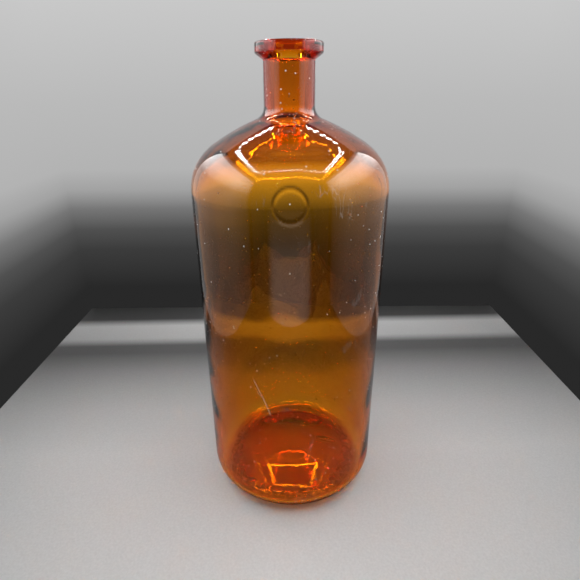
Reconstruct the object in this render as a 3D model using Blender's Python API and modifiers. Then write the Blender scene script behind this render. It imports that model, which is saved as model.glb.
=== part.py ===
"""Amber glass laboratory bottle, half-gallon size: one piece of blown glass, open at the mouth.

Metres, +Z up. The origin is the centre of the ring that the bottle stands on, and +Z is the bottle's axis.
"""

from math import cos, pi, radians, sin, tan

import bpy

# Driving dimensions, in metres
HEIGHT = 0.2767
BODY_RADIUS = 0.0570
NECK_RADIUS = 0.0138
LIP_RADIUS = 0.0181

BODY_WALL = 0.0034
NECK_WALL = 0.0048

SHOULDER_Z = 0.2016  # where the straight side ends
SHOULDER_RADIUS = 0.0293
SHOULDER_SLOPE = radians(33.5)  # where the corner runs into the crown
CROWN_SLOPE = radians(21.85)  # where the crown runs into the neck's fillet
NECK_FILLET = 0.0076

LIP_BAND = 0.0057  # height of the lip's upright edge
LIP_UNDERCUT = 0.0026  # height of the cone from the lip down to the neck
LIP_ROUND = 0.0009
MOUTH_ROUND = 0.0012

HEEL_RADIUS = 0.0140
RING_WIDTH = 0.0045  # flat ring that the bottle stands on
PUSH_UP = 0.0090  # depth of the hollow under the base
HOLLOW_POWER = 2.0
BASE_THICKNESS = 0.0052  # of glass above the hollow, on the axis
FLOOR_POWER = 3.6  # inner floor: flat in the middle, falling away towards the wall
FLOOR_SLOPE = radians(32)  # where the falling floor turns up into the wall
FLOOR_CORNER = 0.0068  # inner radius between floor and wall

SEGMENTS = 72
BOTTLE_COLOUR = (0.42, 0.13, 0.012, 1.0)
BOTTLE_ROUGHNESS = 0.06
BOTTLE_METALLIC = 0.0

QUARTER = pi / 2


def arc(centre, radius, start, end, steps):
    """Points (r, z) on a circle, from the angle start to the angle end, both included."""
    turn = (end - start) / steps
    return [
        (centre[0] + radius * cos(start + turn * i), centre[1] + radius * sin(start + turn * i))
        for i in range(steps + 1)
    ]


def dome(edge_radius, edge_z, rise, power, steps):
    """Points of a shallow dome, from its edge to the axis, both included."""
    shares = [1 - i / steps for i in range(steps + 1)]
    return [(edge_radius * share, edge_z + rise * (1 - share**power)) for share in shares]


def crown():
    """Centre and radius of the long arc over the shoulder, and the centre of the neck's fillet."""
    low, high = QUARTER - SHOULDER_SLOPE, QUARTER - CROWN_SLOPE
    low_r = BODY_RADIUS - SHOULDER_RADIUS * (1 - cos(low))
    low_z = SHOULDER_Z + SHOULDER_RADIUS * sin(low)
    high_r = NECK_RADIUS + NECK_FILLET * (1 - cos(high))
    radius = (low_r - high_r) / (cos(low) - cos(high))
    centre = (low_r - radius * cos(low), low_z - radius * sin(low))
    fillet = (NECK_RADIUS + NECK_FILLET, centre[1] + (radius + NECK_FILLET) * sin(high))
    return centre, radius, fillet


def flank(body_wall, neck_wall, steps):
    """Neck fillet, crown and shoulder corner, top to bottom, the given wall depths inside the outer surface."""
    low, high = QUARTER - SHOULDER_SLOPE, QUARTER - CROWN_SLOPE
    centre, radius, fillet_centre = crown()
    points = arc(fillet_centre, NECK_FILLET + neck_wall, pi, pi + high, steps)
    for i in range(1, steps):
        share = i / steps
        depth = neck_wall + (body_wall - neck_wall) * share
        angle = high + (low - high) * share
        points.append((centre[0] + (radius - depth) * cos(angle), centre[1] + (radius - depth) * sin(angle)))
    return points + arc((BODY_RADIUS - SHOULDER_RADIUS, SHOULDER_Z), SHOULDER_RADIUS - body_wall, low, 0, steps)


def inner_side():
    """From the middle of the inner floor up to the mouth."""
    bore = NECK_RADIUS - NECK_WALL
    corner_r = BODY_RADIUS - BODY_WALL - FLOOR_CORNER
    floor_r = corner_r - FLOOR_CORNER * sin(FLOOR_SLOPE)
    rise = floor_r * tan(FLOOR_SLOPE) / FLOOR_POWER
    floor_z = PUSH_UP + BASE_THICKNESS - rise
    floor = dome(floor_r, floor_z, rise, FLOOR_POWER, 7)
    floor.reverse()
    corner_z = floor_z + FLOOR_CORNER * cos(FLOOR_SLOPE)
    corner = arc((corner_r, corner_z), FLOOR_CORNER, -QUARTER - FLOOR_SLOPE, 0, 8)
    shoulder = flank(BODY_WALL, NECK_WALL, 7)
    shoulder.reverse()
    mouth = arc((bore + MOUTH_ROUND, HEIGHT - MOUTH_ROUND), MOUTH_ROUND, pi, QUARTER, 3)
    return floor + corner[1:] + shoulder + mouth


def outer_side():
    """From the lip down to the ring that the bottle stands on, and in under the base to the axis."""
    edge_r = LIP_RADIUS - LIP_ROUND
    band_z = HEIGHT - LIP_BAND
    lip_top = arc((edge_r, HEIGHT - LIP_ROUND), LIP_ROUND, QUARTER, 0, 3)
    lip_foot = arc((edge_r, band_z + LIP_ROUND), LIP_ROUND, 0, -QUARTER / 2, 2)
    undercut = [(NECK_RADIUS, band_z - LIP_UNDERCUT)]
    heel_r = BODY_RADIUS - HEEL_RADIUS
    heel = arc((heel_r, HEEL_RADIUS), HEEL_RADIUS, 0, -QUARTER, 7)
    hollow = dome(heel_r - RING_WIDTH, 0.0, PUSH_UP, HOLLOW_POWER, 6)
    return lip_top + lip_foot + undercut + flank(0.0, 0.0, 7) + heel + hollow


def turned(name, outline, material, collection):
    """A solid of revolution about Z, from an outline (r, z) with both ends on the axis."""
    mesh = bpy.data.meshes.new(name)
    points = [(r, 0.0, z) for r, z in outline]
    edges = [(i, i + 1) for i in range(len(points) - 1)]
    mesh.from_pydata(points, edges, [])
    mesh.materials.append(material)
    solid = bpy.data.objects.new(name, mesh)
    collection.objects.link(solid)
    screw = solid.modifiers.new("turn", "SCREW")
    screw.steps = SEGMENTS
    screw.render_steps = SEGMENTS
    screw.use_merge_vertices = True
    screw.merge_threshold = 0.00001
    screw.use_smooth_shade = True
    return solid


def amber_glass():
    material = bpy.data.materials.new("amber_glass")
    material.use_nodes = True
    shader = material.node_tree.nodes["Principled BSDF"]
    shader.inputs["Base Color"].default_value = BOTTLE_COLOUR
    shader.inputs["Roughness"].default_value = BOTTLE_ROUGHNESS
    shader.inputs["Metallic"].default_value = BOTTLE_METALLIC
    return material


def main():
    for old in list(bpy.data.objects):
        bpy.data.objects.remove(old)
    collection = bpy.data.collections.new("laboratory_bottle")
    bpy.context.scene.collection.children.link(collection)
    turned("bottle", inner_side() + outer_side(), amber_glass(), collection)


main()
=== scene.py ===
"""Looks of the amber laboratory bottle: one piece of blown glass, with its bubbles, seams, ripples and wear.

Metres, +Z up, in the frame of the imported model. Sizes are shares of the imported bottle's radius, or
millimetres.
"""

from math import cos, pi, radians, sin, tan

import bpy
import numpy as np
from mathutils import Matrix, Vector


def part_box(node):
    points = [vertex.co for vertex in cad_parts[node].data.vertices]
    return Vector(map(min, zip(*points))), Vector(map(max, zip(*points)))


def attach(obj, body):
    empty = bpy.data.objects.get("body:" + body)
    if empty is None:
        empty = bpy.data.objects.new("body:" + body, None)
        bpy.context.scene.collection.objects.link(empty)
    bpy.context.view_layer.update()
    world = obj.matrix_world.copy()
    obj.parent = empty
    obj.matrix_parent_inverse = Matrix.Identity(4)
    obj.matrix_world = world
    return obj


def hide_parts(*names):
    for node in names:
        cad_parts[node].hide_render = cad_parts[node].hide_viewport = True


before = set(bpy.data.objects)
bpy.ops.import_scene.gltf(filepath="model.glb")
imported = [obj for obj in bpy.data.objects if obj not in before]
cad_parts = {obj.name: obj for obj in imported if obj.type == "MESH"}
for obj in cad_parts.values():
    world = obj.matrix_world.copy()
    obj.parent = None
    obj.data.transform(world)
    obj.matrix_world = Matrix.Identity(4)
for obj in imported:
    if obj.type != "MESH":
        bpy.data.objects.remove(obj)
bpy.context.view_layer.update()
LOW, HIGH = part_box("bottle")
R = (HIGH.x - LOW.x) / 2
H = HIGH.z
MM = 0.001
QUARTER = pi / 2
FRONT = -QUARTER  # the side that faces the camera, as an angle round the axis
SEED = 7

# The outline, as in the solid
NECK = 0.2422 * R
LIP = 0.3175 * R
NECK_WALL = 0.0930 * R
SHOULDER_Z = 3.5369 * R
SHOULDER_CORNER = 0.5139 * R
SHOULDER_SLOPE = radians(33.5)
CROWN_SLOPE = radians(21.85)
NECK_FILLET = 0.1330 * R
LIP_BAND = 0.0997 * R
LIP_UNDERCUT = 0.0452 * R
LIP_ROUND = 0.0180 * R
MOUTH_ROUND = 0.0211 * R
HEEL = 0.2456 * R
RING_WIDTH = 0.0789 * R
PUSH_UP = 0.1579 * R
HOLLOW_POWER = 2.0
BASE_THICKNESS = 0.0730 * R
FLOOR_POWER = 3.6
FLOOR_SLOPE = radians(32)
FLOOR_CORNER = 0.1193 * R

# The glass is thin at the top of the side, and thicker towards the neck and the base
ROOT_FILLET = 12 * MM
ROOT_WALL = 5.6 * MM
CROWN_WALL = 4.3 * MM
SIDE_WALL = 2.8 * MM
HEEL_WALL = 4.2 * MM

# Plain raised ring on the shoulder, and the seams of the two-part mould
MARK_Z = 3.58 * R
MARK_RADIUS = 8.0 * MM
MARK_WIDTH = 0.75 * MM
MARK_RISE = 0.32 * MM
SEAM_WIDTH = 0.45 * MM
SEAM_RISE = 0.16 * MM
SEAM_TOP = H - 12 * MM  # the seams fade out above the shoulder, where the neck was finished by hand
SEAM_FADE_LOW = 4 * MM
SEAM_FADE_HIGH = 6 * MM

# Unevenness: lengths of the waves, and their depths in millimetres on the inner and the outer surface
SLOW_WAVES = 90 * MM
FINE_WAVES = 26 * MM
GRAIN_WAVES = 9 * MM
INNER_SLOW = 0.13
INNER_FINE = 0.05
INNER_GRAIN = 0.022
OUTER_FINE = 0.018
LIP_SLOW = 0.05
# The heights between which the grain acts, each with the length of its fade, and the other fades
GRAIN_LOW = (3.55 * R, 0.30 * R)
GRAIN_HIGH = (4.25 * R, 0.10 * R)
CALM_FADE = 10 * MM  # under SEAM_TOP
AXIS_FADE = 0.12 * R  # from the middle of the inner floor

# Columns of the mesh, in degrees: their spacing, and how far the fine ones reach to either side
COLUMN_STEP = 2.4
MARK_STEP = 0.46
MARK_REACH = 10.0
SEAM_STEP = 0.4
SEAM_REACH = 1.2

# Seeds, the small bubbles: ranges of height over the radius, of depth in the wall, of half width in mm,
# and of length over width
SEED_COUNT = 90
SEED_HEIGHTS = (0.16, 3.45)
SEED_DEPTHS = (0.35, 0.65)
SEED_WIDTHS = (0.18, 0.42)
SEED_STRETCH = (1.1, 3.0)
SEED_FLATNESS = 0.8  # half width through the wall over half width along it
SEED_MESH = (6, 8)  # rings and segments
BLISTER_MESH = (10, 16)
# Blisters in the base: place as shares of the radius, height in mm, turn in degrees, half sizes in mm
BASE_BLISTERS = [
    (0.45, 0.02, 9.4, -8, (7.6, 2.0, 1.7)),
    (0.15, 0.28, 10.6, 0, (3.6, 3.4, 0.9)),
]
# Scratches on the front: ends as (x, z) and half width, in metres
SCRATCHES = [
    ((-0.0215, 0.1035), (-0.0165, 0.0925), 0.00030),
    ((-0.0165, 0.0925), (-0.0124, 0.0810), 0.00040),
    ((-0.0200, 0.0960), (-0.0165, 0.0925), 0.00020),
]

# The glass: its colour per metre of depth, and how much the marks on its surface hide
GLASS_IOR = 1.52
ABSORPTION_COLOUR = (0.962, 0.760, 0.0, 1)
ABSORPTION_DENSITY = 700
DUST_COVER = 0.75
LINE_COVER = 0.15
SCRATCH_COVER = 0.35
WORN_COVER = 0.35
HAZE_ROUGHNESS = 0.04
COVER_ROUGHNESS = 0.5
# Their grains, in cells or waves per metre, and the levels of noise between which they set in
DUST_AREAS = 14
DUST_AREA_RANGE = (0.40, 0.62)
DUST_SHARE = (0.12, 0.40)  # share of cells with a speck: everywhere, and more in the dusty areas
DUST_CELLS = 260
DUST_SIZE = 0.105  # radius of a speck, in cells
LINE_STRETCH = (1, 1, 0.10)
LINE_CELLS = 260
LINE_WIDTH = 0.018
LINE_SHARE = 0.36
LINE_AREAS = 55
WORN_HEIGHTS = (0.2 * MM, 1.2 * MM)
WORN_GRAIN = 240
WORN_RANGE = (0.35, 0.6)
HAZE_AREAS = 26
HAZE_RANGE = (0.45, 0.75)
HAZE_TOP = (3.6 * R, 3.2 * R)
HAZE_FOOT = (1.5 * R, 2.2 * R)


def arc(centre, radius, start, end, spacing):
    """Points on a circle in the (r, z) plane, about spacing apart."""
    steps = max(2, round(abs(end - start) * radius / spacing))
    angle = np.linspace(start, end, steps + 1)
    return np.stack([centre[0] + radius * np.cos(angle), centre[1] + radius * np.sin(angle)], 1)


def line(a, b, spacing):
    """Points on a straight line in the (r, z) plane, about spacing apart."""
    steps = max(1, round(float(np.hypot(b[0] - a[0], b[1] - a[1])) / spacing))
    share = np.linspace(0, 1, steps + 1)[:, None]
    return np.array(a) * (1 - share) + np.array(b) * share


def chain(*strokes):
    """Strokes end to end, with straight joins between them, without doubled points."""
    points = [strokes[0]]
    for stroke in strokes[1:]:
        gap = np.hypot(*(stroke[0] - points[-1][-1]))
        points.append(stroke[1:] if gap < 1e-7 else stroke)
    return np.concatenate(points)


def crown():
    """Centre and radius of the long arc over the shoulder."""
    low, high = QUARTER - SHOULDER_SLOPE, QUARTER - CROWN_SLOPE
    r = R - SHOULDER_CORNER * (1 - cos(low))
    z = SHOULDER_Z + SHOULDER_CORNER * sin(low)
    end = NECK + NECK_FILLET * (1 - cos(high))
    radius = (r - end) / (cos(low) - cos(high))
    return (r - radius * cos(low), z - radius * sin(low)), radius


def dome(edge_r, edge_z, rise, power, spacing):
    """A shallow dome, from its edge to the axis."""
    share = np.linspace(1, 0, round(edge_r / spacing) + 1)
    return np.stack([edge_r * share, edge_z + rise * (1 - share**power)], 1)


def over_shoulder(root_wall, crown_wall, side_wall):
    """Crown and shoulder corner, top to bottom, under the outer surface by a wall that thickens upwards."""
    low = QUARTER - SHOULDER_SLOPE
    centre, radius = crown()
    high = float(np.arccos((NECK - NECK_WALL - centre[0]) / radius))
    angle = np.linspace(high, low, 52)
    reach = radius - np.linspace(root_wall, crown_wall, 52)
    over = np.stack([centre[0] + reach * np.cos(angle), centre[1] + reach * np.sin(angle)], 1)
    angle = np.linspace(low, 0, 28)
    reach = SHOULDER_CORNER - np.linspace(crown_wall, side_wall, 28)
    corner = np.stack([R - SHOULDER_CORNER + reach * np.cos(angle), SHOULDER_Z + reach * np.sin(angle)], 1)
    return chain(over, corner)


def flank(neck_r, fillet, root_wall, crown_wall, side_wall, spacing):
    """A rounded turn from the neck, then the shoulder, top to bottom."""
    over = over_shoulder(root_wall, crown_wall, side_wall)
    reach = fillet**2 - (over[:, 0] - neck_r - fillet) ** 2
    height = np.where(reach >= 0, over[:, 1] + np.sqrt(np.clip(reach, 0, None)), -1)
    touch = int(np.argmax(height))
    middle = (neck_r + fillet, float(height[touch]))
    end = np.arctan2(over[touch, 1] - middle[1], over[touch, 0] - middle[0]) + 2 * pi
    turn = arc(middle, fillet, pi, end, spacing)
    return chain(turn, over[touch + 1:])


def inner_side():
    bore = NECK - NECK_WALL
    corner_r = R - HEEL_WALL - FLOOR_CORNER
    floor_r = corner_r - FLOOR_CORNER * sin(FLOOR_SLOPE)
    rise = floor_r * tan(FLOOR_SLOPE) / FLOOR_POWER
    floor_z = PUSH_UP + BASE_THICKNESS - rise
    floor = dome(floor_r, floor_z, rise, FLOOR_POWER, 1.5 * MM)[::-1]
    corner_z = floor_z + FLOOR_CORNER * cos(FLOOR_SLOPE)
    corner = arc((corner_r, corner_z), FLOOR_CORNER, -QUARTER - FLOOR_SLOPE, 0, 0.8 * MM)
    shoulder = flank(bore, ROOT_FILLET, ROOT_WALL, CROWN_WALL, SIDE_WALL, 0.7 * MM)[::-1]
    mouth = arc((bore + MOUTH_ROUND, H - MOUTH_ROUND), MOUTH_ROUND, pi, QUARTER, 0.3 * MM)
    wall = line(corner[-1], shoulder[0], 3.0 * MM)
    bore_wall = line(shoulder[-1], mouth[0], 1.6 * MM)
    return chain(floor, corner, wall, shoulder, bore_wall, mouth)


def outer_side():
    edge_r = LIP - LIP_ROUND
    band_z = H - LIP_BAND
    top = arc((edge_r, H - LIP_ROUND), LIP_ROUND, QUARTER, 0, 0.25 * MM)
    foot = arc((edge_r, band_z + LIP_ROUND), LIP_ROUND, 0, -QUARTER * 0.6, 0.25 * MM)
    undercut = line(foot[-1], (NECK, band_z - LIP_UNDERCUT), 0.6 * MM)
    shoulder = flank(NECK, NECK_FILLET, 0, 0, 0, 0.7 * MM)
    neck = line(undercut[-1], shoulder[0], 0.8 * MM)
    heel = arc((R - HEEL, HEEL), HEEL, 0, -QUARTER, 1.0 * MM)
    under_mark = (R, MARK_Z - 1.6 * MARK_RADIUS)
    wall = chain(line(shoulder[-1], under_mark, 1.0 * MM), line(under_mark, heel[0], 2.3 * MM))
    ring = line(heel[-1], (R - HEEL - RING_WIDTH, 0), 1.5 * MM)
    hollow = dome(R - HEEL - RING_WIDTH, 0, PUSH_UP, HOLLOW_POWER, 1.8 * MM)
    band = line(top[-1], foot[0], 0.7 * MM)
    return chain(top, band, foot, undercut, neck, shoulder, wall, heel, ring, hollow)


def ripple(points, seed, length, count=12):
    """A smooth uneven field through space, about -1 to 1, with waves about the given length."""
    rng = np.random.default_rng(seed)
    field = np.zeros(points.shape[:-1])
    for _ in range(count):
        direction = rng.normal(size=3)
        direction *= 2 * pi / length * rng.uniform(0.7, 1.3) / np.linalg.norm(direction)
        field += np.cos(points @ direction + rng.uniform(0, 2 * pi))
    return field / np.sqrt(count)


def column_angles():
    """Angles of the mesh's columns: fine across the raised ring and the seams, coarse elsewhere."""
    coarse = np.arange(-180, 180, COLUMN_STEP)
    mark = -90 + np.arange(-MARK_REACH, MARK_REACH + 0.01, MARK_STEP)
    seams = [side + np.arange(-SEAM_REACH, SEAM_REACH + 0.01, SEAM_STEP) for side in (-180, 0)]
    off_mark = abs(coarse + 90) > MARK_REACH + 0.9
    off_seams = np.minimum(abs(coarse), abs(abs(coarse) - 180)) > SEAM_REACH + 0.7
    keep = off_mark & off_seams
    angles = np.concatenate([coarse[keep], mark] + seams)
    return np.radians(np.unique(np.round((angles + 180) % 360 - 180, 3)))


def relief(theta, z, r):
    """Height of the raised ring and the seams over the outer surface."""
    across = (theta - FRONT) * R
    off_ring = np.hypot(across, z - MARK_Z) - MARK_RADIUS
    ring = MARK_RISE * np.exp(-((off_ring / MARK_WIDTH) ** 2))
    from_seam = np.minimum(abs(np.sin(theta)), 1) * r
    seam = SEAM_RISE * np.exp(-((from_seam / SEAM_WIDTH) ** 2))
    seam = seam * np.clip((z - HEEL) / SEAM_FADE_LOW, 0, 1)
    return ring + seam * np.clip((SEAM_TOP - z) / SEAM_FADE_HIGH, 0, 1)


def void_ball(rings, segments):
    """Points and faces of a unit ball whose faces look inwards."""
    down = np.linspace(0, pi, rings + 1)[1:-1, None]
    turn = np.arange(segments)[None, :] * 2 * pi / segments
    rows = [np.sin(down) * np.cos(turn), np.sin(down) * np.sin(turn), np.cos(down) + 0 * turn]
    points = np.concatenate([np.stack(rows, 2).reshape(-1, 3), [[0, 0, 1], [0, 0, -1]]])
    grid = np.arange((rings - 1) * segments).reshape(rings - 1, segments)
    nxt = np.roll(grid, -1, axis=1)
    faces = [tuple(q) for q in np.stack([grid[:-1], nxt[:-1], nxt[1:], grid[1:]], 2).reshape(-1, 4).tolist()]
    top, bottom = len(points) - 2, len(points) - 1
    faces += [(top, int(b), int(a)) for a, b in zip(grid[0], nxt[0])]
    faces += [(bottom, int(a), int(b)) for a, b in zip(grid[-1], nxt[-1])]
    return points, faces


def side_wall_at(z):
    """Thickness of the side wall at the height z."""
    share = min(max(z / SHOULDER_Z, 0), 1)
    return HEEL_WALL + (SIDE_WALL - HEEL_WALL) * share


def bubbles(start):
    """Seeds, drawn out along the bottle, in the side wall, and two large blisters in the base."""
    rng = np.random.default_rng(SEED + 5)
    places = []
    for _ in range(SEED_COUNT):
        z = rng.uniform(*SEED_HEIGHTS) * R
        theta = rng.uniform(-pi, pi)
        r = R - side_wall_at(z) * rng.uniform(*SEED_DEPTHS)
        half = rng.uniform(*SEED_WIDTHS) * MM
        size = (half * SEED_FLATNESS, half, half * rng.uniform(*SEED_STRETCH))
        places.append(((r * cos(theta), r * sin(theta), z), theta, size, SEED_MESH))
    for x, y, z, angle, size in BASE_BLISTERS:
        half_sizes = [v * MM for v in size]
        places.append(((x * R, y * R, z * MM), radians(angle), half_sizes, BLISTER_MESH))
    points, faces = [], []
    for centre, turn, size, fineness in places:
        ball, ball_faces = void_ball(*fineness)
        ball = ball * size
        x = ball[:, 0] * cos(turn) - ball[:, 1] * sin(turn) + centre[0]
        y = ball[:, 0] * sin(turn) + ball[:, 1] * cos(turn) + centre[1]
        offset = start + len(points)
        points += np.stack([x, y, ball[:, 2] + centre[2]], 1).tolist()
        faces += [tuple(i + offset for i in face) for face in ball_faces]
    return points, faces


def bottle_mesh():
    """The outline turned round the axis, with its ripples, ring, seams and bubbles."""
    inner, outer = inner_side(), outer_side()
    outline = chain(inner, line(inner[-1], outer[0], 0.8 * MM), outer)
    tangent = np.gradient(outline, axis=0)
    tangent /= np.linalg.norm(tangent, axis=1)[:, None]
    normal = np.stack([-tangent[:, 1], tangent[:, 0]], 1)[1:-1]
    inside = (np.arange(len(outline)) < len(inner))[1:-1, None]
    r, z = outline[1:-1, 0][:, None], outline[1:-1, 1][:, None]
    theta = column_angles()[None, :]
    points = np.stack(np.broadcast_arrays(r * np.cos(theta), r * np.sin(theta), z), 2)
    slow = ripple(points, SEED, SLOW_WAVES)
    fine = ripple(points, SEED + 1, FINE_WAVES)
    grain = ripple(points, SEED + 2, GRAIN_WAVES, 20)
    on_shoulder = np.clip((z - GRAIN_LOW[0]) / GRAIN_LOW[1], 0, 1)
    on_shoulder = on_shoulder * np.clip((GRAIN_HIGH[0] - z) / GRAIN_HIGH[1], 0, 1)
    calm = np.clip((SEAM_TOP - z) / CALM_FADE, 0, 1)
    off_axis = np.clip(r / AXIS_FADE, 0, 1) ** 2
    within = INNER_SLOW * slow + INNER_FINE * fine + INNER_GRAIN * on_shoulder * grain
    within = within * MM * calm * off_axis
    under = (~inside) & (z < PUSH_UP + 0.1 * MM) & (r < R - HEEL - RING_WIDTH)
    at_lip = (1 - calm) * (z > 3 * R)
    without = OUTER_FINE * MM * fine * calm + LIP_SLOW * MM * slow * at_lip + relief(theta, z, r)
    push = np.where(inside, within, without)
    push = np.where(under | ((z < 0.3 * MM) & ~inside), 0, push)
    radial = push * normal[:, 0][:, None]
    points[..., 0] += radial * np.cos(theta)
    points[..., 1] += radial * np.sin(theta)
    points[..., 2] += push * normal[:, 1][:, None]
    rows, columns = push.shape
    grid = np.arange(rows * columns).reshape(rows, columns)
    nxt = np.roll(grid, -1, axis=1)
    quads = np.stack([grid[:-1], grid[1:], nxt[1:], nxt[:-1]], 2).reshape(-1, 4)
    first, last = rows * columns, rows * columns + 1
    faces = [tuple(q) for q in quads.tolist()]
    faces += [(first, int(a), int(b)) for a, b in zip(grid[0], nxt[0])]
    faces += [(last, int(b), int(a)) for a, b in zip(grid[-1], nxt[-1])]
    ends = [(0, 0, float(outline[0, 1])), (0, 0, float(outline[-1, 1]))]
    mesh = bpy.data.meshes.new("bottle_glass")
    corners = points.reshape(-1, 3).tolist() + ends
    more_corners, more_faces = bubbles(len(corners))
    mesh.from_pydata(corners + more_corners, [], faces + more_faces)
    mesh.validate()
    mesh.shade_smooth()
    return mesh


def maths(tree, operation, *values):
    """A maths node on sockets and plain numbers."""
    node = tree.nodes.new("ShaderNodeMath")
    node.operation = operation
    for socket, value in zip(node.inputs, values):
        if isinstance(value, (int, float)):
            socket.default_value = value
        else:
            tree.links.new(value, socket)
    return node.outputs[0]


def vectors(tree, operation, *values):
    """A vector maths node on sockets and plain triples."""
    node = tree.nodes.new("ShaderNodeVectorMath")
    node.operation = operation
    for socket, value in zip(node.inputs, values):
        if isinstance(value, (tuple, list)):
            socket.default_value = value
        else:
            tree.links.new(value, socket)
    return node.outputs["Value" if operation in ("DOT_PRODUCT", "DISTANCE") else "Vector"]


def noise(tree, point, scale, detail=1.0):
    node = tree.nodes.new("ShaderNodeTexNoise")
    tree.links.new(point, node.inputs["Vector"])
    node.inputs["Scale"].default_value = scale
    node.inputs["Detail"].default_value = detail
    return node.outputs["Fac"]


def ease(tree, value, low, high):
    """0 at low, 1 at high, smooth between them."""
    node = tree.nodes.new("ShaderNodeMapRange")
    node.interpolation_type = "SMOOTHSTEP"
    tree.links.new(value, node.inputs["Value"])
    node.inputs["From Min"].default_value = low
    node.inputs["From Max"].default_value = high
    return node.outputs["Result"]


def specks(tree, point, scale, size, share):
    """Dust: small dots in a share of the cells of a scattered grid."""
    cells = tree.nodes.new("ShaderNodeTexVoronoi")
    tree.links.new(point, cells.inputs["Vector"])
    cells.inputs["Scale"].default_value = scale
    shade = tree.nodes.new("ShaderNodeSeparateColor")
    tree.links.new(cells.outputs["Color"], shade.inputs[0])
    chosen = maths(tree, "GREATER_THAN", maths(tree, "ADD", shade.outputs[0], share), 1.0)
    return maths(tree, "MULTIPLY", maths(tree, "LESS_THAN", cells.outputs["Distance"], size), chosen)


def scuffs(tree, point, stretch, scale, width, share):
    """Fine rubbed lines, drawn out along the bottle and broken up."""
    long = vectors(tree, "MULTIPLY", point, stretch)
    cells = tree.nodes.new("ShaderNodeTexVoronoi")
    cells.feature = "DISTANCE_TO_EDGE"
    tree.links.new(long, cells.inputs["Vector"])
    cells.inputs["Scale"].default_value = scale
    edge = maths(tree, "LESS_THAN", cells.outputs["Distance"], width)
    areas = ease(tree, noise(tree, point, LINE_AREAS), 1 - share, 1.08 - share)
    return maths(tree, "MULTIPLY", edge, areas)


def scratch(tree, point, start, end, half):
    """A straight scratch between two points (x, z) on the front."""
    flat = vectors(tree, "MULTIPLY", point, (1, 0, 1))
    run = (end[0] - start[0], 0, end[1] - start[1])
    length = run[0] ** 2 + run[2] ** 2
    from_start = vectors(tree, "SUBTRACT", flat, (start[0], 0, start[1]))
    share = maths(tree, "DIVIDE", vectors(tree, "DOT_PRODUCT", from_start, run), length)
    inside = maths(tree, "MINIMUM", maths(tree, "MAXIMUM", share, 0.0), 1.0)
    scaled = tree.nodes.new("ShaderNodeVectorMath")
    scaled.operation = "SCALE"
    scaled.inputs[0].default_value = run
    tree.links.new(inside, scaled.inputs["Scale"])
    gap = vectors(tree, "DISTANCE", from_start, scaled.outputs["Vector"])
    return maths(tree, "SUBTRACT", 1.0, ease(tree, gap, half * 0.5, half))


def amber_glass():
    """Clear amber glass: colour by depth, with haze, dust, rubbed lines and scratches on its surface."""
    material = bpy.data.materials.new("amber_glass")
    material.use_nodes = True
    tree = material.node_tree
    shader = tree.nodes["Principled BSDF"]
    shader.inputs["Base Color"].default_value = (1, 1, 1, 1)
    shader.inputs["IOR"].default_value = GLASS_IOR
    point = tree.nodes.new("ShaderNodeTexCoord").outputs["Object"]
    split = tree.nodes.new("ShaderNodeSeparateXYZ")
    tree.links.new(point, split.inputs[0])
    depth, height = split.outputs[1], split.outputs[2]
    dusty = ease(tree, noise(tree, point, DUST_AREAS), *DUST_AREA_RANGE)
    share = maths(tree, "MULTIPLY_ADD", dusty, DUST_SHARE[1], DUST_SHARE[0])
    dust = specks(tree, point, DUST_CELLS, DUST_SIZE, share)
    lines = scuffs(tree, point, LINE_STRETCH, LINE_CELLS, LINE_WIDTH, LINE_SHARE)
    on_front = maths(tree, "LESS_THAN", depth, 0.0)
    gouge = None
    for start, end, half in SCRATCHES:
        mark = scratch(tree, point, start, end, half)
        gouge = mark if gouge is None else maths(tree, "MAXIMUM", gouge, mark)
    gouge = maths(tree, "MULTIPLY", gouge, on_front)
    worn = maths(tree, "SUBTRACT", 1.0, ease(tree, height, *WORN_HEIGHTS))
    worn = maths(tree, "MULTIPLY", worn, ease(tree, noise(tree, point, WORN_GRAIN), *WORN_RANGE))
    cover = maths(tree, "MULTIPLY", dust, DUST_COVER)
    for marks, most in ((lines, LINE_COVER), (gouge, SCRATCH_COVER), (worn, WORN_COVER)):
        cover = maths(tree, "MAXIMUM", cover, maths(tree, "MULTIPLY", marks, most))
    tree.links.new(maths(tree, "SUBTRACT", 1.0, cover), shader.inputs["Transmission Weight"])
    below_shoulder = ease(tree, height, *HAZE_TOP)
    on_side = maths(tree, "MULTIPLY", below_shoulder, ease(tree, height, *HAZE_FOOT))
    haze = ease(tree, noise(tree, point, HAZE_AREAS), *HAZE_RANGE)
    haze = maths(tree, "MULTIPLY", haze, HAZE_ROUGHNESS)
    haze = maths(tree, "MULTIPLY", haze, on_side)
    rough = maths(tree, "ADD", haze, maths(tree, "MULTIPLY", cover, COVER_ROUGHNESS))
    tree.links.new(rough, shader.inputs["Roughness"])
    absorb = tree.nodes.new("ShaderNodeVolumeAbsorption")
    absorb.inputs["Color"].default_value = ABSORPTION_COLOUR
    absorb.inputs["Density"].default_value = ABSORPTION_DENSITY
    tree.links.new(absorb.outputs["Volume"], tree.nodes["Material Output"].inputs["Volume"])
    return material


glass = bpy.data.objects.new("bottle_glass", bottle_mesh())
bpy.context.scene.collection.objects.link(glass)
glass.data.materials.append(amber_glass())
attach(glass, "root")
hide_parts("bottle")

# Stage: the inside of a light tent, seen from inside only
TENT_X = 0.258
TENT_BACK = 0.250
TENT_FRONT = -0.310
TENT_TOP = 0.492
TENT_FLOOR = -0.0003
LED_X = 0.180
LED_FRONT = -0.156
LED_BACK = 0.195
CAMERA_BACK = 4.5371 * R
CAMERA_HEIGHT = 4.4304 * R
CAMERA_DOWN = radians(24.246)
CAMERA_PAN = radians(0.1187)
CAMERA_ROLL = radians(-0.469)
FOCAL_MM = 27.129724
SENSOR_MM = 36
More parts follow.
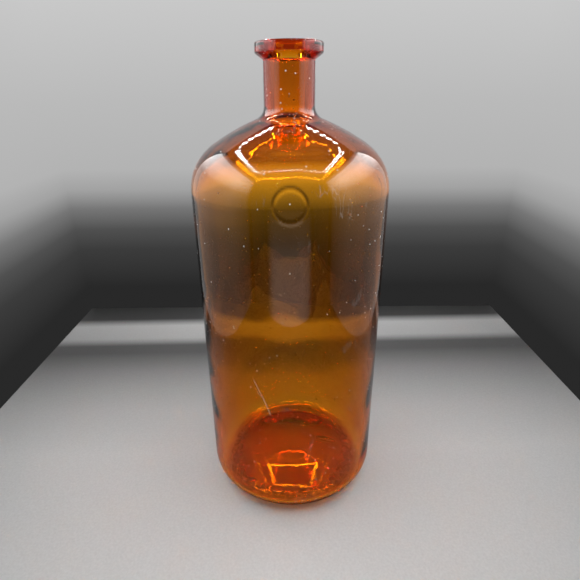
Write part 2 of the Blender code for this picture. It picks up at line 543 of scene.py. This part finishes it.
# Lamp levels: where the glass mirrors the front strip and the others, and where they are seen through it
FRONT_MIRRORED = 24.0
REST_MIRRORED = 90.0
LED_THROUGH = 110.0
BAR_GLOW = 55.0  # of the even bars, for rays that have passed more than DEEP_PASSES surfaces
BAR_FAINT = 0.1  # of the bars, for other rays
DEEP_PASSES = 3.5
LED_Z = TENT_TOP - 0.01
LED_PITCH = 0.022
LED_HALF = 0.0032  # half of a lamp, along the strip
LED_WIDE = 0.0042  # half of a lamp, across it
LED_ROW = 0.0068  # from the middle of the strip to either row
LED_WATTS = 0.22
LIGHT_WIDTH = 0.02
LIGHT_DROP = 0.004
BAR_HALF = 0.013
BAR_RISE = 0.003
CARD_GAP = 0.002  # from the front cloth to the card before it
ROOM_LIGHT = 0.12
CLOTH_ROUGHNESS = 0.7
WEAVE = 700  # waves per metre
WEAVE_DEPTH = 0.25
SWITCH_RAY = 0.5  # a ray's kind is 0 or 1


def tone_curve(tree, value, stops):
    """A smooth level along value: stops are (position in metres, level)."""
    low, high = stops[0][0], stops[-1][0]
    top = max(level for _, level in stops)
    span = tree.nodes.new("ShaderNodeMapRange")
    span.inputs["From Min"].default_value = low
    span.inputs["From Max"].default_value = high
    tree.links.new(value, span.inputs["Value"])
    ramp = tree.nodes.new("ShaderNodeValToRGB")
    tree.links.new(span.outputs["Result"], ramp.inputs["Fac"])
    elements = ramp.color_ramp.elements
    while len(elements) < len(stops):
        elements.new(0.5)
    for element, (place, level) in zip(elements, stops):
        element.position = (place - low) / (high - low)
        element.color = (level / top, level / top, level / top, 1)
    return maths(tree, "MULTIPLY", ramp.outputs["Color"], float(top))


def seen_as(tree, level, through, mirrored):
    """The level, times one factor where it is seen through glass and another where glass mirrors it."""
    path = tree.nodes.new("ShaderNodeLightPath")
    passed = path.outputs["Is Transmission Ray"]
    bounced = maths(tree, "SUBTRACT", path.outputs["Is Glossy Ray"], passed)
    bounced = maths(tree, "GREATER_THAN", bounced, SWITCH_RAY)
    for seen, factor in ((passed, through), (bounced, mirrored)):
        gain = maths(tree, "MULTIPLY_ADD", seen, maths(tree, "SUBTRACT", factor, 1.0), 1.0)
        level = maths(tree, "MULTIPLY", level, gain)
    return level


def position(tree, axis):
    coords = tree.nodes.new("ShaderNodeTexCoord")
    split = tree.nodes.new("ShaderNodeSeparateXYZ")
    tree.links.new(coords.outputs["Object"], split.inputs[0])
    return split.outputs[axis]


def sheet(name, corners, material):
    mesh = bpy.data.meshes.new(name)
    mesh.from_pydata(corners, [], [(0, 1, 2, 3)])
    mesh.materials.append(material)
    obj = bpy.data.objects.new(name, mesh)
    bpy.context.scene.collection.objects.link(obj)
    return obj


def glowing(name, ramps, through=1.0, mirrored=1.0, seen=None):
    """Light cloth that glows on its front and is clear from behind. Each ramp is an axis and its stops.

    Where the cloth is seen directly by the camera, its glow can follow other levels up its height: painted
    light that reflections and the floor don't get."""
    material = bpy.data.materials.new(name)
    material.use_nodes = True
    tree = material.node_tree
    tree.nodes.remove(tree.nodes["Principled BSDF"])
    glow = tree.nodes.new("ShaderNodeEmission")
    level = None
    for axis, stops in ramps:
        value = tone_curve(tree, position(tree, axis), stops)
        level = value if level is None else maths(tree, "MULTIPLY", level, value)
    if through != 1:
        through = tone_curve(tree, position(tree, through[0]), through[1])
    level = seen_as(tree, level, through, mirrored)
    # Painted light: the camera sees other glow levels than the rays that the glass mirrors or lets through
    if seen:
        direct = tree.nodes.new("ShaderNodeLightPath").outputs["Is Camera Ray"]
        gap = maths(tree, "SUBTRACT", tone_curve(tree, position(tree, "Z"), seen), level)
        level = maths(tree, "MULTIPLY_ADD", gap, direct, level)
    tree.links.new(level, glow.inputs["Strength"])
    clear = tree.nodes.new("ShaderNodeBsdfTransparent")
    side = tree.nodes.new("ShaderNodeNewGeometry")
    mix = tree.nodes.new("ShaderNodeMixShader")
    tree.links.new(side.outputs["Backfacing"], mix.inputs[0])
    tree.links.new(glow.outputs[0], mix.inputs[1])
    tree.links.new(clear.outputs[0], mix.inputs[2])
    tree.links.new(mix.outputs[0], tree.nodes["Material Output"].inputs["Surface"])
    return material


# Painted light and shade of the tent's cloths: (place in metres, level). The floor's levels are painted on
# its colour, the others set how brightly each cloth glows. Those named THROUGH and MIRRORED are factors on
# them: painted light and shade for rays through the glass, and for rays the glass mirrors.
FLOOR_LIGHT_AND_SHADE = [(-0.09, 0.62), (0.0, 0.60), (0.05, 0.46), (0.10, 0.28), (0.145, 0.095), (0.160, 0.10),
               (0.175, 0.44), (0.205, 0.53), (0.222, 0.06), (0.250, 0.04)]
FLOOR_TILT = -0.023
# Painted shade and light in the back cloth's glow: dark near the floor, brighter upwards
BACK_TONES = [(0.0, 0.022), (0.03, 0.022), (0.08, 0.045), (0.105, 0.080), (0.130, 0.181), (0.152, 0.361),
              (0.175, 0.45), (0.245, 0.49), (0.330, 0.57), (0.5, 0.8)]
# Painted light: the side cloths glow brightest high up and fade towards the front
SIDE_TONES = [(0.0, 0.40), (0.05, 0.32), (0.12, 0.40), (0.145, 0.62), (0.20, 1.0), (0.24, 1.25),
              (0.285, 1.5), (0.31, 2.8), (0.34, 4.2), (0.38, 5.5), (0.45, 5.5), (0.465, 1.4), (0.492, 0.4)]
SIDE_DEPTH = [(-0.31, 0.01), (-0.29, 0.04), (-0.262, 0.38), (-0.215, 0.62), (-0.14, 1.0), (0.25, 1.0)]
# Painted light and shade where the floor is seen through the glass: brighter in front of and under the
# bottle, darker behind it
FLOOR_THROUGH_LIGHT_AND_SHADE = [(-0.31, 1.4), (-0.06, 1.3), (0.01, 1.25), (0.03, 1.0), (0.06, 0.9), (0.10, 0.95),
                 (0.125, 0.60), (0.155, 0.75), (0.188, 0.70), (0.25, 0.8)]
# Painted shade where the glass mirrors the floor: darker everywhere, most of all in front
FLOOR_MIRRORED_SHADE = [(-0.31, 0.08), (-0.10, 0.09), (-0.05, 0.22), (-0.01, 0.40), (0.05, 0.70), (0.14, 0.75),
                  (0.25, 0.4)]
# Painted glow of the floor for rays that have passed the glass, in front of and just under the bottle
FLOOR_PAINTED_GLOW = [(-0.31, 0.30), (-0.22, 0.26), (-0.13, 0.24), (-0.08, 0.30), (-0.055, 0.20), (-0.035, 0.07),
              (0.0, 0.05), (0.025, 0.0), (0.25, 0.0)]
# Painted light and shade for rays through the glass: the side cloths glow less, and the back cloth glows
# more between about 0.15 and 0.25 m up and less above
SIDE_THROUGH = [(0.0, 0.65), (0.18, 0.65), (0.24, 0.35), (0.5, 0.35)]
BACK_THROUGH = [(0.0, 1.0), (0.10, 1.0), (0.132, 0.66), (0.158, 1.15), (0.18, 1.65), (0.20, 1.9),
                (0.225, 1.6), (0.245, 1.15), (0.26, 0.88), (0.28, 0.75), (0.5, 0.75)]
# Painted levels of the front cloth, the roof and the card: the front glows faintly, the roof dimly, and the
# card brightest low down and in the middle
FRONT_TONES = [(0.0, 0.05), (0.5, 0.05)]
ROOF_TONES = [(0.0, 0.1), (0.6, 0.1)]
ROOF_SEEN = [(0.0, 0.7), (0.6, 0.7)]
CARD_TONES = [(0.0, 0.75), (0.04, 0.85), (0.075, 0.75), (0.105, 0.34), (0.135, 0.15), (0.16, 0.07),
              (0.18, 0.05)]
CARD_SIDES = [(-0.145, 0.0), (-0.115, 0.6), (-0.085, 1.0), (0.07, 1.0), (0.105, 0.6), (0.135, 0.0)]


def stage():
    cloth = bpy.data.materials.new("floor_cloth")
    cloth.use_nodes = True
    tree = cloth.node_tree
    shader = tree.nodes["Principled BSDF"]
    shader.inputs["Roughness"].default_value = CLOTH_ROUGHNESS
    away = maths(tree, "MULTIPLY_ADD", position(tree, "X"), FLOOR_TILT, position(tree, "Y"))
    # Painted light and shade: the floor's colour is pale near the bottle, darker in a band behind it,
    # lighter in a strip further back, and dark at the back
    level = tone_curve(tree, away, FLOOR_LIGHT_AND_SHADE)
    weave = noise(tree, tree.nodes.new("ShaderNodeTexCoord").outputs["Object"], WEAVE, 3.0)
    weave = maths(tree, "MULTIPLY_ADD", weave, WEAVE_DEPTH, 1 - WEAVE_DEPTH / 2)
    level = maths(tree, "MULTIPLY", level, weave)
    # Painted light and shade by kind of ray: the floor's colour is raised or lowered where the glass shows
    # it, lowered where the glass mirrors it, and the floor glows for rays through the glass
    through = tone_curve(tree, away, FLOOR_THROUGH_LIGHT_AND_SHADE)
    mirrored = tone_curve(tree, away, FLOOR_MIRRORED_SHADE)
    tree.links.new(seen_as(tree, level, through, mirrored), shader.inputs["Base Color"])
    passed = tree.nodes.new("ShaderNodeLightPath").outputs["Is Transmission Ray"]
    glow = maths(tree, "MULTIPLY", tone_curve(tree, away, FLOOR_PAINTED_GLOW), passed)
    shader.inputs["Emission Color"].default_value = (1, 1, 1, 1)
    tree.links.new(glow, shader.inputs["Emission Strength"])
    x, y0, y1, top, low = TENT_X, TENT_FRONT, TENT_BACK, TENT_TOP, TENT_FLOOR
    sheet("floor", [(-x, y0, low), (x, y0, low), (x, y1, low), (-x, y1, low)], cloth)
    back = glowing("back_cloth", [("Z", BACK_TONES)], through=("Z", BACK_THROUGH))
    sheet("back_wall", [(-x, y1, low), (x, y1, low), (x, y1, top), (-x, y1, top)], back)
    side_ramps = [("Z", SIDE_TONES), ("Y", SIDE_DEPTH)]
    side = glowing("side_cloth", side_ramps, through=("Z", SIDE_THROUGH), seen=BACK_TONES)
    sheet("left_wall", [(-x, y0, low), (-x, y1, low), (-x, y1, top), (-x, y0, top)], side)
    sheet("right_wall", [(x, y1, low), (x, y0, low), (x, y0, top), (x, y1, top)], side)
    # Painted shade: the front cloth glows faintly where the glass mirrors it, and where the camera sees it
    # directly it glows like the back cloth
    front = glowing("front_cloth", [("Z", FRONT_TONES)], seen=BACK_TONES)
    sheet("front_wall", [(x, y0, low), (-x, y0, low), (-x, y0, top), (x, y0, top)], front)
    # Painted light: a glowing card, hidden from the camera and from rays through the glass, which the glass
    # mirrors and which lights the floor
    card = glowing("card", [("Z", CARD_TONES), ("X", CARD_SIDES)])
    near, tall = y0 + CARD_GAP, CARD_TONES[-1][0]
    low_x, high_x = CARD_SIDES[0][0], CARD_SIDES[-1][0]
    corners = [(high_x, near, 0), (low_x, near, 0), (low_x, near, tall), (high_x, near, tall)]
    hidden_from(sheet("front_card", corners, card), "camera", "transmission")
    # Painted light: the roof glows dimly, and brighter where the camera sees it directly
    roof = glowing("roof_cloth", [("Z", ROOF_TONES)], seen=ROOF_SEEN)
    sheet("roof", [(-x, y1, top), (x, y1, top), (x, y0, top), (-x, y0, top)], roof)


def lamp_glow(name, path_output, low, high):
    """Emission that goes from low to high for a kind of ray, or for rays that have passed much glass."""
    lamp = bpy.data.materials.new(name)
    lamp.use_nodes = True
    tree = lamp.node_tree
    tree.nodes.remove(tree.nodes["Principled BSDF"])
    glow = tree.nodes.new("ShaderNodeEmission")
    path = tree.nodes.new("ShaderNodeLightPath").outputs[path_output]
    chosen = maths(tree, "GREATER_THAN", path, DEEP_PASSES if path_output.endswith("Depth") else SWITCH_RAY)
    tree.links.new(maths(tree, "MULTIPLY_ADD", chosen, high - low, low), glow.inputs["Strength"])
    tree.links.new(glow.outputs[0], tree.nodes["Material Output"].inputs["Surface"])
    lamp.cycles.emission_sampling = "NONE"
    return lamp


def hidden_from(obj, *rays):
    for ray in rays:
        setattr(obj, "visible_" + ray, False)


def led_strip(name, start, end, mirrored):
    """Small lamps in two staggered rows, an even bar for deep rays, and light for the floor."""
    start, end = Vector(start), Vector(end)
    along = end - start
    length = along.length
    across = Vector((0, 0, 1)).cross(along).normalized()
    step = along.normalized()
    turns = ((-1, -1), (-1, 1), (1, 1), (1, -1))
    corners, faces = [], []
    for i in range(int(length / LED_PITCH)):
        for row, shift in ((-LED_ROW, 0.0), (LED_ROW, 0.5)):
            middle = start + step * (LED_PITCH * (i + shift + 0.25)) + across * row
            first = len(corners)
            corners += [tuple(middle + step * a * LED_HALF + across * b * LED_WIDE) for a, b in turns]
            faces.append((first, first + 1, first + 2, first + 3))
    mesh = bpy.data.meshes.new(name)
    mesh.from_pydata(corners, [], faces)
    mesh.materials.append(lamp_glow(name, "Is Transmission Ray", mirrored, LED_THROUGH))
    obj = bpy.data.objects.new(name, mesh)
    bpy.context.scene.collection.objects.link(obj)
    hidden_from(obj, "camera", "diffuse", "shadow")
    rise, side = Vector((0, 0, BAR_RISE)), across * BAR_HALF
    corners = [tuple(p + rise) for p in (start - side, end - side, end + side, start + side)]
    material = lamp_glow(name + "_bar", "Transmission Depth", BAR_FAINT, BAR_GLOW)
    bar = sheet(name + "_bar", corners, material)
    hidden_from(bar, "camera", "diffuse", "shadow", "glossy")
    data = bpy.data.lights.new(name + "_light", "AREA")
    data.shape = "RECTANGLE"
    data.size = length
    data.size_y = LIGHT_WIDTH
    data.energy = LED_WATTS
    light = bpy.data.objects.new(name + "_light", data)
    bpy.context.scene.collection.objects.link(light)
    light.location = (start + end) / 2 + Vector((0, 0, -LIGHT_DROP))
    light.rotation_euler = (0, 0, np.arctan2(along.y, along.x))
    hidden_from(light, "camera", "glossy", "transmission")


def camera():
    data = bpy.data.cameras.new("camera")
    data.sensor_width = SENSOR_MM
    data.lens = FOCAL_MM
    data.clip_start = 0.01
    obj = bpy.data.objects.new("camera", data)
    bpy.context.scene.collection.objects.link(obj)
    pan = Matrix.Rotation(CAMERA_PAN, 4, "Z")
    tilt = Matrix.Rotation(QUARTER - CAMERA_DOWN, 4, "X")
    roll = Matrix.Rotation(CAMERA_ROLL, 4, "Z")
    obj.matrix_world = Matrix.Translation((0, -CAMERA_BACK, CAMERA_HEIGHT)) @ (pan @ tilt @ roll)
    bpy.context.scene.camera = obj


stage()
led_strip("led_front", (-LED_X, LED_FRONT, LED_Z), (LED_X, LED_FRONT, LED_Z), FRONT_MIRRORED)
led_strip("led_back", (-LED_X, LED_BACK, LED_Z), (LED_X, LED_BACK, LED_Z), REST_MIRRORED)
led_strip("led_left", (-LED_X, LED_FRONT, LED_Z), (-LED_X, LED_BACK, LED_Z), REST_MIRRORED)
led_strip("led_right", (LED_X, LED_FRONT, LED_Z), (LED_X, LED_BACK, LED_Z), REST_MIRRORED)
world = bpy.data.worlds.new("dim_room")
world.use_nodes = True
world.node_tree.nodes["Background"].inputs["Color"].default_value = (ROOM_LIGHT, ROOM_LIGHT, ROOM_LIGHT, 1)
bpy.context.scene.world = world
camera()
bpy.context.scene.view_settings.view_transform = "Standard"
bpy.context.scene.cycles.max_bounces = 24
bpy.context.scene.cycles.transmission_bounces = 24
bpy.context.scene.cycles.transparent_max_bounces = 16
bpy.context.scene.cycles.sample_clamp_indirect = 0
